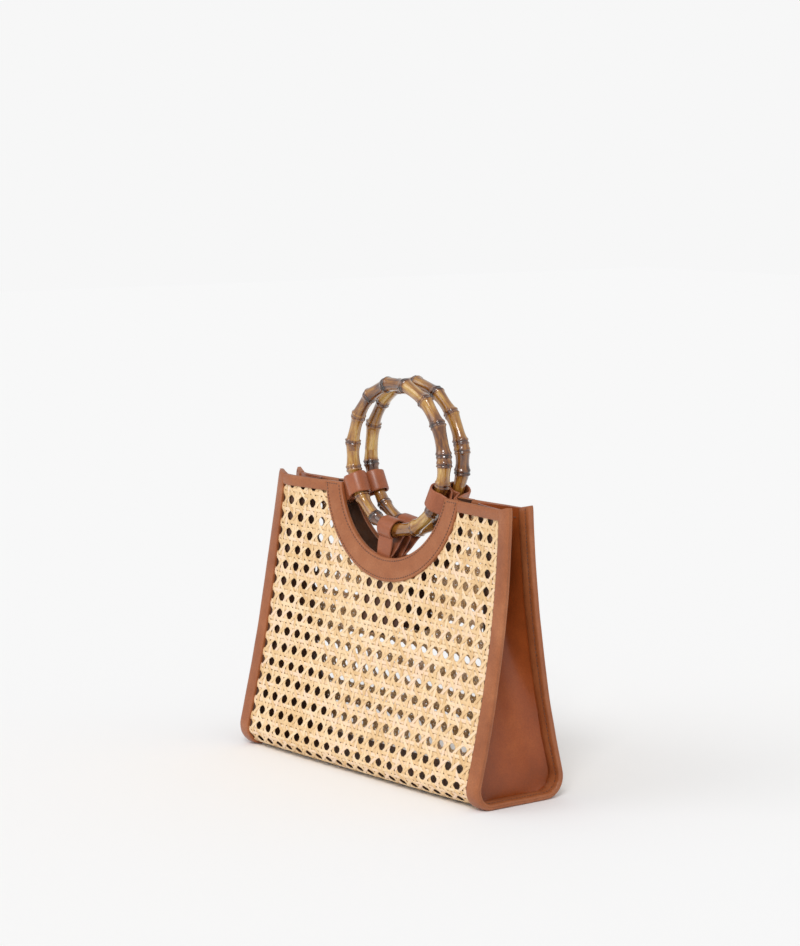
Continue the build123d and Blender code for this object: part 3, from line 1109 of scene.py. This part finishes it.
def sew():
    """Both seams of the facings, the stitches across their ends, and the seam inside each binding."""
    stitches = Stitches()
    for side in WALLS:
        seams = []
        for radius in FACING_SEAMS:
            start, end = pi + stem_angle(radius) + 0.03, 2 * pi - stem_angle(radius) - 0.03
            spots = [(radius * cos(a), CUTOUT_Z + radius * sin(a)) for a in spread(start, end, 90)]
            seams.append((0.02, spots))
        for hand in HANDS:
            seams.append((0.0, [(hand * x, TOP - 1.9) for x in spread(*FACING_SEAMS, 8)]))
        for depth, spots in seams:
            line = [wall(side, x, z, depth) for x, z in spots]
            stitches.run(line, [outward(side, x, z) for x, z in spots])
    top_s = down(TIP) + 1.5
    rows = spread(top_s, SHEET_LENGTH - top_s, 200)
    for hand in HANDS:
        x = hand * (HALF_LENGTH - BINDING_SEAM)
        line = [place(x, s, BINDING_THICK - 0.2) for s in rows]
        stitches.run(line, [(place(x, s, 2) - place(x, s, 0)).normalized() for s in rows])
    build("stitching", stitches.verts, stitches.faces, THREAD)


def hem_stitches():
    """The hem's line of stitches, below the top edge of each folded end."""
    stitches = Stitches()
    for hand in HANDS:
        grid = gusset_grid(hand)
        r = min(range(len(grid)), key=lambda k: abs(grid[k][0].z - (TOP - HEM_SEAM)))
        line, ups = [], []
        for c in range(2, len(grid[0]) - 2):
            normal = grid_normal(grid, r, c)
            if normal.x < 0:
                normal = -normal
            line.append(at_end(hand, grid[r][c] + normal * 0.8))
            ups.append(Vector((hand * normal.x, normal.y, normal.z)))
        stitches.run(line, ups, pitch=3.0, length=2.1)
    build("hem_stitching", stitches.verts, stitches.faces, THREAD)


sew()
hem_stitches()


# Scene: floor, light, camera

PALE = (0.93, 0.93, 0.93, 1)
FLOOR_HALF = 6
SKY = 0.69
# Each lamp's name, azimuth from the front, elevation, power and spread
SUNS = [("key", 42, 42, 1.32, 20), ("fill", -25, 33, 0.5, 40)]


def link(name, data):
    piece = bpy.data.objects.new(name, data)
    bpy.context.scene.collection.objects.link(piece)
    return piece


def toward(azimuth, elevation):
    """Direction from the object, for an azimuth from the front to the right and an elevation."""
    a, e = radians(azimuth), radians(elevation)
    return Vector((sin(a) * cos(e), -cos(a) * cos(e), sin(e)))


def stage_and_light():
    """A pale floor and background of one tone, a soft key lamp and a weaker one from the left."""
    mesh = bpy.data.meshes.new("floor")
    corners = [(x * FLOOR_HALF, y * FLOOR_HALF, 0) for x, y in ((-1, -1), (1, -1), (1, 1), (-1, 1))]
    mesh.from_pydata(corners, [], [(0, 1, 2, 3)])
    floor = link("floor", mesh)
    mat, _, shader = material("pale_floor", 1.0, specular=0.0)
    shader.inputs["Base Color"].default_value = PALE
    mesh.materials.append(mat)
    world = bpy.data.worlds.new("studio")
    bpy.context.scene.world = world
    world.use_nodes = True
    tree = world.node_tree
    background = tree.nodes["Background"]
    background.inputs["Color"].default_value = PALE
    # The camera sees the background at full strength, but it lights the bag less.
    seen = node(tree, "ShaderNodeLightPath").outputs["Is Camera Ray"]
    tree.links.new(map_range(tree, seen, SKY, 1.0), background.inputs["Strength"])
    for name, azimuth, elevation, power, spread_angle in SUNS:
        light = bpy.data.lights.new(name, "SUN")
        light.energy = power
        light.angle = radians(spread_angle)
        lamp = link(name, light)
        lamp.rotation_euler = toward(azimuth, elevation).to_track_quat("Z", "Y").to_euler()


def camera():
    """The photograph's view: from the right of the front, slightly above."""
    azimuth, elevation = 51.35, 6.96
    distance, focal_px = 2036.1, 2680.0
    width_px, height_px = 800, 946
    aim_right, aim_up = 3.58, 222.72
    fit_x, fit_y = 6.79, -5.98
    back = toward(azimuth, elevation)
    right = Vector((cos(radians(azimuth)), sin(radians(azimuth)), 0))
    up = back.cross(right)
    spot = right * aim_right + up * aim_up + back * distance - Vector((fit_x, fit_y, 0))
    lens = bpy.data.cameras.new("photo_camera")
    lens.sensor_width = 36
    lens.lens = focal_px * lens.sensor_width / max(width_px, height_px)
    lens.clip_end = 50
    eye = link("photo_camera", lens)
    eye.location = spot * MM
    eye.rotation_euler = back.to_track_quat("Z", "Y").to_euler()
    bpy.context.scene.camera = eye


stage_and_light()
camera()
bpy.context.scene.view_settings.view_transform = "Standard"
